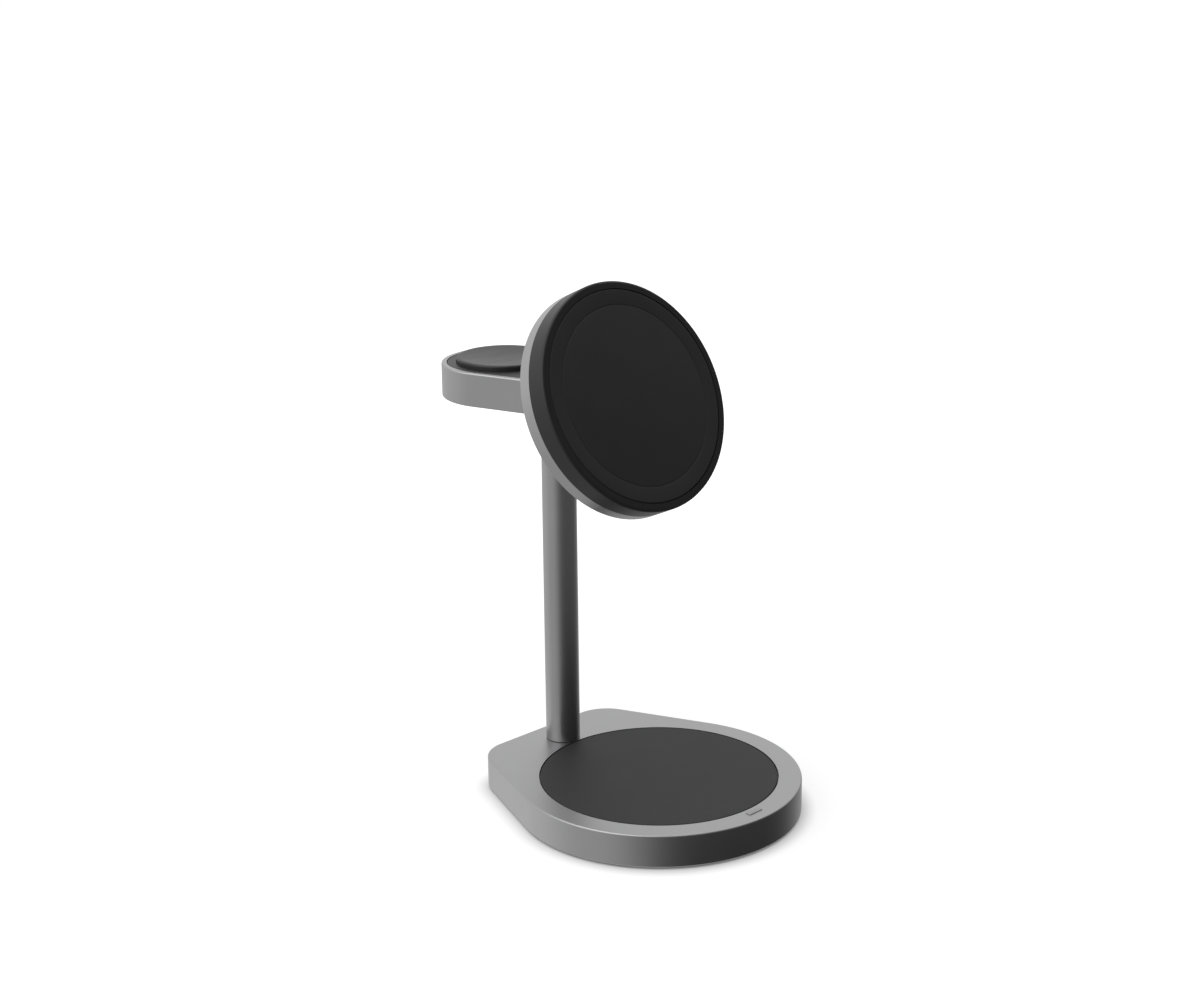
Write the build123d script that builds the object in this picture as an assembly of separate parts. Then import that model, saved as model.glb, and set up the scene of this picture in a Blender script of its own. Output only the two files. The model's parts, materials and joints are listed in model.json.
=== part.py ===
from build123d import *
import os
from math import acos, atan2, cos, hypot, radians, sin

# Three in one charging stand, in millimetres.
# +Z is up and -Y is the front.
# The origin is the centre of the base's round front, on the surface that it stands on.

# Base outline
base_radius = 42.8          # round front
base_back_width = 50.6      # back edge from side to side, before its corners are rounded
base_corner = 11.5
base_wall = 2.2
base_edge = 0.45            # rounding of the top edge
base_lower_edge = 0.4       # chamfer of the lower edge

# Foot and bottom plate
foot_gap = 0.6              # table to the shell's lower edge
foot_recess = 0.4           # depth of the foot's bed in the plate
foot_rim = 0.65             # plate left round the foot's bed
foot_fit = 0.1
foot_edge = 0.3
plate_thickness = 1.6
plate_fit = 0.15

# Plate screws and their bosses
boss_radius = 2.6
boss_gap = 0.5              # boss to the shell's wall
front_boss_angle = 50.0     # each side of straight ahead
screw_radius = 1.0
screw_head_radius = 1.9
screw_head_height = 0.8
screw_head_fit = 0.1
screw_bite = 4.0            # thread length in the boss
screw_tip_gap = 0.5
screw_socket_radius = 0.9
screw_socket_depth = 0.45

# Earbud pad and what lies under it
deck_ring = 6.9             # deck in front of the pad's groove
pad_gap = 0.3               # groove round the pad
pad_thickness = 1.4
pad_edge = 0.25
pad_seat = 0.8              # deck left under the pad's rim
pad_ledge = 3.0             # width of that seat
coil_thickness = 1.2
coil_outer_radius = 22.0
coil_inner_radius = 10.0
ferrite_thickness = 0.8
ferrite_margin = 1.5        # ferrite beyond the coil
counterweight_thickness = 3.0
counterweight_gap = 0.8     # counterweight inside the pad's opening

# Status light window in the deck
window_length = 5.2
window_width = 1.7
window_offset = 2.15        # pad's groove to the window's middle
window_corner = 0.3
window_fit = 0.12
window_rise = 0.25          # window above the deck
window_edge = 0.08
pipe_flange_margin = 0.65
pipe_flange_thickness = 0.8
light_board_thickness = 0.8

# Main board and power inlet
board_thickness = 1.0
post_count = 3              # posts under each round board
board_width = 32.0
board_clear = 0.8           # board to the walls and bosses
inlet_width = 8.94
inlet_height = 3.16
inlet_depth = 7.35
inlet_skin = 0.3
inlet_back = 1.1
inlet_setback = 0.2
inlet_gap = 0.15
inlet_headroom = 0.25
tongue_width = 6.7
tongue_thickness = 0.7
tongue_setback = 0.9
chip_size = 5.0
chip_height = 0.9
inductor_size = 6.0
inductor_height = 3.0
capacitor_length = 3.2
capacitor_width = 1.6
capacitor_height = 1.5
capacitor_count = 4
capacitor_pitch = 8.0
part_edge = 0.8             # parts on the board to its edge

# Stem and its clamps
stem_radius = 5.25
stem_bore_radius = 3.0
stem_length = 106.5         # deck to the arm's underside
stem_edge = 0.2
pad_to_stem = 0.25          # pad's groove to the stem
spigot_radius = 4.2
spigot_fit = 0.1
washer_thickness = 0.5
washer_margin = 0.3         # washer beyond the nut's corners
washer_to_wall = 1.15       # lower washer to the back wall
nut_flats = 11.0
nut_height = 2.0
thread_end = 0.2            # spigot beyond the nut
loom_radius = 1.2
loom_tail = 1.5

# Arm
arm_radius = 19.1           # round back end
watch_reach = 23.5          # stem to the middle of the round end
hinge_reach = 16.9          # stem to the hinge
arm_floor = 2.0
arm_wall = 2.6
arm_rim = 1.6               # metal left round the top cover
arm_headroom = 4.0          # stem's upper end to the top cover
arm_edge = 0.4
cover_thickness = 1.6
cover_gap = 0.2
cover_ledge = 1.0
cover_corner = 1.6
cavity_corner = 1.0

# Watch puck and what lies under it
puck_to_wall = 1.1          # puck's flange to the arm's wall
puck_fit = 0.15
puck_proud = 1.6
puck_edge = 0.6
puck_rim = 1.2              # flat rim round the dish
puck_dish = 0.9
puck_skin = 1.2
puck_wall = 1.2
puck_flange = 1.0
puck_flange_lip = 0.9
watch_coil_thickness = 1.0
watch_coil_to_puck = 2.3    # coil to the puck's wall
watch_ferrite_thickness = 0.8
watch_magnet_radius = 4.2
watch_magnet_gap = 0.8      # magnet to the coil round it
watch_board_to_wall = 3.5
watch_post_height = 1.2
watch_post_radius = 1.8
watch_post_inset = 3.0      # post's middle to the board's edge

# Tilt hinge
lean = 25.0                 # phone disc's lean back from upright
lug_radius = 4.6
lug_width = 7.8
lug_web = 7.0
lug_fit = 0.15
hinge_washer_thickness = 0.5
hinge_washer_margin = 0.3
hinge_play = 0.1            # each side of the lug
cheek = 3.4
pin_radius = 2.0
pin_running_fit = 0.05
pin_recess = 0.4
slot_clear = 0.4
slot_wall = 2.0
nose_gap = 0.85             # arm's nose to the back of the phone disc
lug_flange_width = 22.0
lug_flange_height = 14.0
lug_flange_thickness = 1.5
lug_screw_inset = 2.6
lug_screw_radius = 0.9
lug_screw_head_radius = 1.6
lug_screw_head_height = 0.8
lug_screw_bite = 1.4

# Phone disc
head_radius = 34.4
head_drop = 3.2             # disc's middle below the hinge, along the disc
head_floor = 2.2
head_wall = 1.8
head_rear_depth = 4.1
head_rear_edge = 0.3
head_front_edge = 0.8
lip_fit = 0.1
lip_thickness = 1.0
lip_depth = 1.4
head_board_gap = 0.3        # lug screws to the board
head_board_radius = 20.0
head_post_radius = 1.8
head_post_inset = 3.0       # post's middle to the board's edge
shield_thickness = 0.3
head_ferrite_thickness = 0.8
head_ferrite_margin = 1.0   # ferrite beyond the coil
head_coil_thickness = 1.4
head_coil_outer_radius = 21.0
head_coil_inner_radius = 9.5
magnet_to_ferrite = 1.4
magnet_width = 3.8
magnet_thickness = 2.0
magnet_count = 16
magnet_gap = 1.2
face_wall = 1.2
face_pad_thickness = 0.8
face_rim = 2.4              # black rim round the face pad
face_pad_gap = 0.2
face_pad_edge = 0.2

# Heights and places that follow from the sizes above
plate_top = foot_gap + plate_thickness
foot_top = foot_gap + foot_recess
deck_thickness = pad_thickness + pad_seat
clamp_height = washer_thickness + nut_height + thread_end
deck_bottom = plate_top + inlet_height + inlet_headroom + clamp_height
base_top = deck_bottom + deck_thickness
pad_bottom = base_top - pad_thickness
recess_radius = base_radius - deck_ring
pad_radius = recess_radius - pad_gap
pad_opening = pad_radius - pad_ledge
stem_y = recess_radius + pad_to_stem + stem_radius
nut_corner_radius = nut_flats / 2 / cos(radians(30))
washer_radius = nut_corner_radius + washer_margin
base_reach = stem_y + washer_radius + washer_to_wall + base_wall
foot_inset = base_wall + plate_fit + foot_rim

arm_bottom = base_top + stem_length
arm_floor_top = arm_bottom + arm_floor
cover_bottom = arm_floor_top + clamp_height + arm_headroom
arm_top = cover_bottom + cover_thickness
arm_thickness = arm_top - arm_bottom
nose_radius = arm_thickness / 2
watch_y = stem_y + watch_reach
hinge_y = stem_y - hinge_reach
hinge_z = arm_bottom + nose_radius
arm_reach = watch_reach + hinge_reach
slot_width = lug_width + 2 * (hinge_washer_thickness + hinge_play)
knuckle_width = slot_width + 2 * cheek
slot_end_y = hinge_y + lug_radius + slot_clear
cavity_front_y = slot_end_y + slot_wall

cavity_radius = arm_radius - arm_wall
puck_radius = cavity_radius - puck_to_wall - puck_flange_lip
puck_inner_radius = puck_radius - puck_wall
watch_coil_outer_radius = puck_inner_radius - watch_coil_to_puck
watch_coil_inner_radius = watch_magnet_radius + watch_magnet_gap
watch_board_radius = cavity_radius - watch_board_to_wall
puck_top = arm_top + puck_proud
puck_underside = puck_top - puck_dish - puck_skin
watch_coil_bottom = puck_underside - watch_coil_thickness
watch_ferrite_bottom = watch_coil_bottom - watch_ferrite_thickness
watch_board_bottom = arm_floor_top + watch_post_height
watch_board_top = watch_board_bottom + board_thickness

board_front_y = pad_opening + board_clear
board_back_y = base_reach - base_wall - board_clear
inlet_y = base_reach - inlet_setback
inlet_z = plate_top + inlet_height / 2

# Distances from the hinge axis towards the phone, square to the disc
head_back = nose_radius + nose_gap
head_floor_top = head_back + head_floor
head_seam = head_back + head_rear_depth
lug_flange_top = head_floor_top + lug_flange_thickness
head_board_bottom = lug_flange_top + lug_screw_head_height + head_board_gap
head_board_top = head_board_bottom + board_thickness
shield_top = head_board_top + shield_thickness
head_ferrite_top = shield_top + head_ferrite_thickness
head_coil_top = head_ferrite_top + head_coil_thickness
face_bed = head_coil_top + face_wall
head_front = face_bed + face_pad_thickness
face_opening = head_radius - face_rim
head_ferrite_radius = head_coil_outer_radius + head_ferrite_margin
magnet_inner_radius = head_ferrite_radius + magnet_to_ferrite
magnet_outer_radius = magnet_inner_radius + magnet_width
lip_outer_radius = head_radius - head_wall - lip_fit
lip_inner_radius = lip_outer_radius - lip_thickness

hinge_frame = Pos(0, hinge_y, hinge_z) * Rot(90 - lean, 0, 0)
disc_frame = hinge_frame * Pos(0, -head_drop, 0)


def disc(radius, bottom, top):
    """Upright cylinder between two heights."""
    return Pos(0, 0, bottom) * Cylinder(radius, top - bottom, align=(Align.CENTER, Align.CENTER, Align.MIN))


def tube(outer, inner, bottom, top):
    """Upright ring between two heights."""
    return disc(outer, bottom, top) - disc(inner, bottom, top)


def slab(width, depth, bottom, top):
    """Upright block, centred in plan, between two heights."""
    return Pos(0, 0, bottom) * Box(width, depth, top - bottom, align=(Align.CENTER, Align.CENTER, Align.MIN))


def cross_rod(radius, length):
    """Cylinder along X about the origin."""
    return Rot(0, 90, 0) * Cylinder(radius, length)


def prism(face, bottom, top):
    """A plan outline raised between two heights."""
    return Pos(0, 0, bottom) * extrude(face, top - bottom)


def turned(points):
    """Solid of revolution about Z from points of radius and height."""
    return revolve(Plane.XZ * Polygon(*points, align=None), Axis.Z)


def teardrop(radius, reach, end_width, inset=0.0, end=None, corner=0.0):
    """Plan outline, round towards -Y, with tangent sides to a straight edge across +Y.

    The sides run from the full-size round to an edge of end_width at reach.
    The outline is then drawn in by inset, and its straight edge can stand at another end.
    """
    half = end_width / 2
    taper = atan2(reach, half) - acos(radius / hypot(half, reach))
    r = radius - inset
    end_y = reach - inset if end is None else end
    end_x = (r - end_y * sin(taper)) / cos(taper)
    touch_x = r * cos(taper)
    touch_y = r * sin(taper)
    face = make_face([
        ThreePointArc((-touch_x, touch_y), (0, -r), (touch_x, touch_y)),
        Line((touch_x, touch_y), (end_x, end_y)),
        Line((end_x, end_y), (-end_x, end_y)),
        Line((-end_x, end_y), (-touch_x, touch_y)),
    ])
    if corner > 0:
        face = fillet(face.vertices().group_by(Axis.Y)[-1], corner)
    return face


def base_outline(inset=0.0):
    """The base's plan, drawn in by inset."""
    return teardrop(base_radius, base_reach, base_back_width, inset, corner=base_corner - inset)


def arm_outline(inset=0.0, front_y=None, corner=0.0):
    """The arm's plan, round at the back, drawn in by inset and cut straight at front_y."""
    end = None if front_y is None else watch_y - front_y
    outline = teardrop(arm_radius, arm_reach, knuckle_width, inset, end, corner)
    return Pos(0, watch_y) * Rot(0, 0, 180) * outline


def boss_places():
    """Plan positions of the four plate screws."""
    ring = base_radius - base_wall - boss_gap - boss_radius
    front_x = ring * sin(radians(front_boss_angle))
    front_y = -ring * cos(radians(front_boss_angle))
    back_x = board_width / 2 + board_clear + boss_radius
    return [Pos(side * x, y) for x, y in ((front_x, front_y), (back_x, stem_y)) for side in (1, -1)]


def window_place():
    """Plan position of the status light window."""
    return Pos(0, -(recess_radius + window_offset))


def inlet_hole(grow):
    """The power inlet's outline drawn out by grow, through the back wall."""
    outline = SlotOverall(inlet_width + 2 * grow, inlet_height + 2 * grow)
    return Pos(0, base_reach, inlet_z) * Rot(90, 0, 0) * extrude(outline, base_wall, both=True)


def base_shell():
    shell = prism(base_outline(), foot_gap, base_top)
    shell = fillet(shell.faces().sort_by(Axis.Z)[-1].edges(), base_edge)
    shell = chamfer(shell.faces().sort_by(Axis.Z)[0].edges(), base_lower_edge)
    shell -= prism(base_outline(base_wall), foot_gap, deck_bottom)
    shell -= disc(recess_radius, pad_bottom, base_top)
    shell -= disc(pad_opening, deck_bottom, pad_bottom)
    shell -= Pos(0, stem_y) * disc(spigot_radius + spigot_fit, deck_bottom, base_top)
    hole = RectangleRounded(window_length + 2 * window_fit, window_width + 2 * window_fit, window_corner)
    shell -= window_place() * prism(hole, deck_bottom, base_top)
    shell -= inlet_hole(inlet_gap)
    for place in boss_places():
        shell += place * disc(boss_radius, plate_top, deck_bottom)
        shell -= place * disc(screw_radius, plate_top, plate_top + screw_bite + screw_tip_gap)
    return shell


def base_plate():
    plate = prism(base_outline(base_wall + plate_fit), foot_gap, plate_top)
    plate -= prism(base_outline(foot_inset), foot_gap, foot_top)
    for place in boss_places():
        plate -= place * disc(screw_head_radius + screw_head_fit, foot_top, foot_top + screw_head_height)
        plate -= place * disc(screw_radius + screw_head_fit, foot_top, plate_top)
    return plate


def foot_pad():
    foot = prism(base_outline(foot_inset + foot_fit), 0, foot_top)
    return fillet(foot.faces().sort_by(Axis.Z)[0].edges(), foot_edge)


def base_screws():
    shank_bottom = foot_top + screw_head_height
    screw = disc(screw_head_radius, foot_top, shank_bottom)
    screw += disc(screw_radius, shank_bottom, plate_top + screw_bite)
    screw -= prism(RegularPolygon(screw_socket_radius, 6), foot_top, foot_top + screw_socket_depth)
    return Compound(children=[place * screw for place in boss_places()])


def earbud_pad():
    pad = disc(pad_radius, pad_bottom, base_top)
    return fillet(pad.faces().sort_by(Axis.Z)[-1].edges(), pad_edge)


def earbud_coil():
    return tube(coil_outer_radius, coil_inner_radius, pad_bottom - coil_thickness, pad_bottom)


def earbud_ferrite():
    top = pad_bottom - coil_thickness
    return disc(coil_outer_radius + ferrite_margin, top - ferrite_thickness, top)


def coil_carrier():
    top = pad_bottom - coil_thickness - ferrite_thickness
    return disc(coil_outer_radius + ferrite_margin, plate_top + counterweight_thickness, top)


def counterweight():
    return disc(pad_opening - counterweight_gap, plate_top, plate_top + counterweight_thickness)


def status_light_pipe():
    window = RectangleRounded(window_length, window_width, window_corner)
    pipe = prism(window, deck_bottom, base_top + window_rise)
    pipe = chamfer(pipe.faces().sort_by(Axis.Z)[-1].edges(), window_edge)
    flange_length = window_length + 2 * pipe_flange_margin
    flange_width = window_width + 2 * pipe_flange_margin
    pipe += slab(flange_length, flange_width, deck_bottom - pipe_flange_thickness, deck_bottom)
    return window_place() * pipe


def status_light_board():
    top = deck_bottom - pipe_flange_thickness
    length = window_length + 2 * pipe_flange_margin
    width = window_width + 2 * pipe_flange_margin
    return window_place() * slab(length, width, top - light_board_thickness, top)


def main_board():
    """Board with its parts soldered on, and a notch that the power inlet sits in."""
    depth = board_back_y - board_front_y
    board_top = plate_top + board_thickness
    board = Pos(0, (board_front_y + board_back_y) / 2) * slab(board_width, depth, plate_top, board_top)
    notch_front_y = inlet_y - inlet_depth - inlet_gap
    notch_depth = board_back_y - notch_front_y
    notch = slab(inlet_width + 2 * inlet_gap, 2 * notch_depth, plate_top, board_top)
    board -= Pos(0, board_back_y) * notch
    chip_x = part_edge + (chip_size - board_width) / 2
    board += Pos(chip_x, stem_y) * slab(chip_size, chip_size, board_top, board_top + chip_height)
    inductor_x = (board_width - inductor_size) / 2 - part_edge
    inductor = slab(inductor_size, inductor_size, board_top, board_top + inductor_height)
    board += Pos(inductor_x, stem_y) * inductor
    capacitor = slab(capacitor_length, capacitor_width, board_top, board_top + capacitor_height)
    row_y = board_front_y + part_edge + capacitor_width / 2
    for index in range(capacitor_count):
        x = (index - (capacitor_count - 1) / 2) * capacitor_pitch
        board += Pos(x, row_y) * capacitor
    return board


def power_inlet():
    shell = extrude(SlotOverall(inlet_width, inlet_height), inlet_depth)
    mouth = SlotOverall(inlet_width - 2 * inlet_skin, inlet_height - 2 * inlet_skin)
    shell -= extrude(mouth, inlet_depth - inlet_back)
    shell += slab(tongue_width, tongue_thickness, tongue_setback, inlet_depth)
    return Pos(0, inlet_y, inlet_z) * Rot(90, 0, 0) * shell


def stem_tube():
    stem = disc(stem_radius, base_top, arm_bottom)
    stem = chamfer(stem.edges().filter_by(GeomType.CIRCLE), stem_edge)
    low = deck_bottom - clamp_height
    high = arm_floor_top + clamp_height
    stem += disc(spigot_radius, low, high)
    stem -= disc(stem_bore_radius, low, high)
    return Pos(0, stem_y) * stem


def stem_washers():
    below = tube(washer_radius, spigot_radius, deck_bottom - washer_thickness, deck_bottom)
    above = tube(washer_radius, spigot_radius, arm_floor_top, arm_floor_top + washer_thickness)
    return Pos(0, stem_y) * Compound(children=[below, above])


def stem_nuts():
    hexagon = RegularPolygon(nut_corner_radius, 6) - Circle(spigot_radius)
    low = deck_bottom - washer_thickness - nut_height
    high = arm_floor_top + washer_thickness
    below = prism(hexagon, low, low + nut_height)
    above = prism(hexagon, high, high + nut_height)
    return Pos(0, stem_y) * Compound(children=[below, above])


def wiring_loom():
    top = arm_floor_top + clamp_height + loom_tail
    return Pos(0, stem_y) * disc(loom_radius, plate_top + board_thickness, top)


def arm_body():
    """Tray of the arm: round watch end, cavity, bed of the cover, and the hinge fork at the nose."""
    slab_body = prism(arm_outline(), arm_bottom, arm_top)
    caps = slab_body.faces().sort_by(Axis.Z)
    rim_edges = [edge for cap in (caps[0], caps[-1]) for edge in cap.edges().sort_by(Axis.Y)[1:]]
    body = fillet(rim_edges, arm_edge)
    nose = cross_rod(nose_radius, knuckle_width)
    body += Pos(0, hinge_y, hinge_z) * fillet(nose.edges().filter_by(GeomType.CIRCLE), arm_edge)
    slot_length = slot_end_y - hinge_y + nose_radius
    slot_middle_y = slot_end_y - slot_length / 2
    body -= Pos(0, slot_middle_y) * slab(slot_width, slot_length, arm_bottom, arm_top)
    body -= Pos(0, hinge_y, hinge_z) * cross_rod(pin_radius, knuckle_width)
    body -= prism(arm_outline(arm_rim, cavity_front_y - cover_ledge, cover_corner), cover_bottom, arm_top)
    body -= prism(arm_outline(arm_wall, cavity_front_y, cavity_corner), arm_floor_top, cover_bottom)
    body -= Pos(0, stem_y) * disc(spigot_radius + spigot_fit, arm_bottom, arm_floor_top)
    for place in PolarLocations(watch_board_radius - watch_post_inset, post_count):
        body += Pos(0, watch_y) * place * disc(watch_post_radius, arm_floor_top, watch_board_bottom)
    return body


def arm_cover():
    front_y = cavity_front_y - cover_ledge + cover_gap
    cover = prism(arm_outline(arm_rim + cover_gap, front_y, cover_corner - cover_gap), cover_bottom, arm_top)
    cover = fillet(cover.faces().sort_by(Axis.Z)[-1].edges(), cover_gap)
    return cover - Pos(0, watch_y) * disc(puck_radius + puck_fit, cover_bottom, arm_top)


def watch_puck():
    """Cup with a dished face, held under the cover by its flange."""
    flange = puck_radius + puck_flange_lip
    flange_bottom = cover_bottom - puck_flange
    puck = turned([
        (0, puck_underside),
        (puck_inner_radius, puck_underside),
        (puck_inner_radius, flange_bottom),
        (flange, flange_bottom),
        (flange, cover_bottom),
        (puck_radius, cover_bottom),
        (puck_radius, puck_top),
        (0, puck_top),
    ])
    puck = fillet(puck.edges().filter_by(GeomType.CIRCLE).sort_by(Axis.Z)[-1], puck_edge)
    dish_radius = puck_radius - puck_rim
    ball = (dish_radius ** 2 + puck_dish ** 2) / (2 * puck_dish)
    puck -= Pos(0, 0, puck_top - puck_dish + ball) * Sphere(ball)
    return Pos(0, watch_y) * puck


def watch_coil():
    ring = tube(watch_coil_outer_radius, watch_coil_inner_radius, watch_coil_bottom, puck_underside)
    return Pos(0, watch_y) * ring


def watch_ferrite():
    ring = tube(watch_coil_outer_radius, watch_coil_inner_radius, watch_ferrite_bottom, watch_coil_bottom)
    return Pos(0, watch_y) * ring


def watch_magnet():
    return Pos(0, watch_y) * disc(watch_magnet_radius, watch_ferrite_bottom, puck_underside)


def watch_coil_carrier():
    return Pos(0, watch_y) * disc(watch_coil_outer_radius, watch_board_top, watch_ferrite_bottom)


def watch_board():
    return Pos(0, watch_y) * disc(watch_board_radius, watch_board_bottom, watch_board_top)


def hinge_pin():
    return Pos(0, hinge_y, hinge_z) * cross_rod(pin_radius, knuckle_width - 2 * pin_recess)


def hinge_washers():
    washer = cross_rod(lug_radius - hinge_washer_margin, hinge_washer_thickness)
    washer -= cross_rod(pin_radius, hinge_washer_thickness)
    x = (slot_width - hinge_washer_thickness) / 2
    return Pos(0, hinge_y, hinge_z) * Compound(children=[Pos(x, 0, 0) * washer, Pos(-x, 0, 0) * washer])


def lug_screw_places():
    """Positions of the lug's screws, on the disc's own frame about the hinge."""
    across = lug_flange_width / 2 - lug_screw_inset
    along = lug_flange_height / 2 - lug_screw_inset
    return [Pos(x, y) for x in (-across, across) for y in (-along, along)]


def hinge_lug():
    """Barrel on the pin, with a web through the rear cover to a flange inside it."""
    lug = cross_rod(lug_radius, lug_width)
    lug += slab(lug_width, lug_web, 0, lug_flange_top)
    lug += slab(lug_flange_width, lug_flange_height, head_floor_top, lug_flange_top)
    lug -= cross_rod(pin_radius + pin_running_fit, lug_width)
    for place in lug_screw_places():
        lug -= place * disc(lug_screw_radius, head_floor_top, lug_flange_top)
    return hinge_frame * lug


def hinge_lug_screws():
    screw = disc(lug_screw_head_radius, lug_flange_top, lug_flange_top + lug_screw_head_height)
    screw += disc(lug_screw_radius, head_floor_top - lug_screw_bite, lug_flange_top)
    return hinge_frame * Compound(children=[place * screw for place in lug_screw_places()])


def head_rear_cover():
    cover = turned([
        (0, head_back),
        (head_radius, head_back),
        (head_radius, head_seam),
        (head_radius - head_wall, head_seam),
        (head_radius - head_wall, head_floor_top),
        (0, head_floor_top),
    ])
    cover = fillet(cover.faces().sort_by(Axis.Z)[0].edges(), head_rear_edge)
    for place in PolarLocations(head_board_radius - head_post_inset, post_count, start_angle=90):
        cover += place * disc(head_post_radius, head_floor_top, head_board_bottom)
    hole = slab(lug_width + 2 * lug_fit, lug_web + 2 * lug_fit, head_back, head_floor_top)
    cover -= Pos(0, head_drop) * hole
    pilot = disc(lug_screw_radius, head_floor_top - lug_screw_bite, head_floor_top)
    for place in lug_screw_places():
        cover -= Pos(0, head_drop) * place * pilot
    return disc_frame * cover


def head_front_housing():
    """Black front of the phone disc, with a lip inside the rear cover and a bed for the face pad."""
    housing = turned([
        (lip_inner_radius, head_seam - lip_depth),
        (lip_outer_radius, head_seam - lip_depth),
        (lip_outer_radius, head_seam),
        (head_radius, head_seam),
        (head_radius, head_front),
        (0, head_front),
        (0, head_coil_top),
        (lip_inner_radius, head_coil_top),
    ])
    housing = fillet(housing.faces().sort_by(Axis.Z)[-1].edges(), head_front_edge)
    return disc_frame * (housing - disc(face_opening, face_bed, head_front))


def head_face_pad():
    pad = disc(face_opening - face_pad_gap, face_bed, head_front)
    return disc_frame * fillet(pad.faces().sort_by(Axis.Z)[-1].edges(), face_pad_edge)


def head_magnets():
    """Ring of arc magnets behind the face."""
    pitch = 360 / magnet_count
    middle_radius = (magnet_inner_radius + magnet_outer_radius) / 2
    arc = pitch - magnet_gap / radians(1) / middle_radius
    low = head_coil_top - magnet_thickness
    section = Plane.XZ * Polygon(
        (magnet_inner_radius, low),
        (magnet_outer_radius, low),
        (magnet_outer_radius, head_coil_top),
        (magnet_inner_radius, head_coil_top),
        align=None,
    )
    magnet = revolve(section, Axis.Z, arc)
    magnets = [Rot(0, 0, index * pitch) * magnet for index in range(magnet_count)]
    return disc_frame * Compound(children=magnets)


def head_coil():
    return disc_frame * tube(head_coil_outer_radius, head_coil_inner_radius, head_ferrite_top, head_coil_top)


def head_ferrite():
    return disc_frame * disc(head_ferrite_radius, shield_top, head_ferrite_top)


def head_shield():
    return disc_frame * disc(head_ferrite_radius, head_board_top, shield_top)


def head_board():
    return disc_frame * disc(head_board_radius, head_board_bottom, head_board_top)


pieces = [
    base_shell, base_plate, foot_pad, base_screws, earbud_pad, earbud_coil, earbud_ferrite, coil_carrier,
    counterweight, status_light_pipe, status_light_board, main_board, power_inlet,
    stem_tube, stem_washers, stem_nuts, wiring_loom,
    arm_body, arm_cover, watch_puck, watch_coil, watch_ferrite, watch_magnet, watch_coil_carrier, watch_board,
    hinge_pin, hinge_washers, hinge_lug, hinge_lug_screws,
    head_rear_cover, head_front_housing, head_face_pad, head_magnets, head_coil, head_ferrite, head_shield,
    head_board,
]

os.makedirs("parts", exist_ok=True)
for piece in pieces:
    export_step(piece(), f"parts/{piece.__name__}.step")
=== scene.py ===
"""Looks of a three in one wireless charger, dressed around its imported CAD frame."""

import json
from math import cos, hypot, pi, radians, sin

import bmesh
import bpy
from bpy.props import FloatProperty, FloatVectorProperty, IntProperty, PointerProperty
from mathutils import Matrix, Vector


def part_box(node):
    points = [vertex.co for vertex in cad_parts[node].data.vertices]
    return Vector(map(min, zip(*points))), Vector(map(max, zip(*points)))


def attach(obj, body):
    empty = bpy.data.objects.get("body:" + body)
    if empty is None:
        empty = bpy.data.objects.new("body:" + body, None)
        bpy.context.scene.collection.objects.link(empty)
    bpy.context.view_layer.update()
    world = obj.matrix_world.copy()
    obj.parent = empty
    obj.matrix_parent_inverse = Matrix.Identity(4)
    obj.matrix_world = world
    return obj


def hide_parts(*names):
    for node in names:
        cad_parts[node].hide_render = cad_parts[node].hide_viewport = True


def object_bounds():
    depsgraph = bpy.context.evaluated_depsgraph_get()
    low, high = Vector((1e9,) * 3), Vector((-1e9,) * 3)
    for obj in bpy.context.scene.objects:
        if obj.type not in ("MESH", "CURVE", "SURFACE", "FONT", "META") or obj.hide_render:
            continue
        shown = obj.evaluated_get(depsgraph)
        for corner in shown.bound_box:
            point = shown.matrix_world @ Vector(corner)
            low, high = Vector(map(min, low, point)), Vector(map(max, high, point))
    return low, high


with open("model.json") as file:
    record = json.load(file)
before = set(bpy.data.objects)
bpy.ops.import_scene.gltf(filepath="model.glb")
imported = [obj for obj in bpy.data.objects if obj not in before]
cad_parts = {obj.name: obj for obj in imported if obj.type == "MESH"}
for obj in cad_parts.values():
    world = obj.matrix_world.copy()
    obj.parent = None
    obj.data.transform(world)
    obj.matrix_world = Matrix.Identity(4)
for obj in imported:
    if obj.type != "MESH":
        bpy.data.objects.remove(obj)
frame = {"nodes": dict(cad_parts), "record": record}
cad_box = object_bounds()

bl_info = {
    "name": "Three in one wireless charger",
    "version": (1, 0, 0),
    "blender": (4, 5, 0),
    "location": "3D View > Sidebar > Charger",
    "description": "Gives the charger's CAD frame its finishes, soft pads, windings, studio and camera",
    "category": "Object",
}

MM = 0.001
WHITE = (1.0, 1.0, 1.0, 1.0)
BLACK = (0.0, 0.0, 0.0, 1.0)

# Points round an outline
BASE_STEPS = 360
PAD_STEPS = 240
SOCKET_STEPS = 96
BORE_STEPS = 64
SMALL_STEPS = 48
CONTACT_STEPS = 16

# A flat face starts this many edge radii in from the rim, so that the round beside it stays even
PAD_FLAT = 1.4
BASE_FLAT = 4 / 3

# The socket tongue's tip is drawn in by this share of its corner radius, so that the corner stays round
TIP_DRAW = 0.9

# Spans over which reflections of the room change, as cosines of the angle to its dark side
DARK_ABOVE_SPAN = (-0.35, 0.85)
DARK_BELOW_SPAN = (-0.27, 0.68)
DIM_BELOW_SPAN = (-0.906, -0.62)
HORIZON_SPAN = (-0.1, 0.05)  # sines of the rise, where the lower room passes into the upper

# Floor, in metres from the middle of the base, and its tones
FLOOR_REACH = 3.0
GLOW_SPAN = (0.12, 0.4)
HAZE_SPAN = (0.06, 0.15)
NEAR_GLOW = 0.7
FLOOR_TONE = (0.42, 0.42, 0.42, 1.0)
HAZE_TONE = (0.45, 0.45, 0.45, 1.0)
# Reach of the ambient occlusion that paints a contact shadow into the floor's glow
CONTACT_SHADOW = 5 * MM


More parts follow.
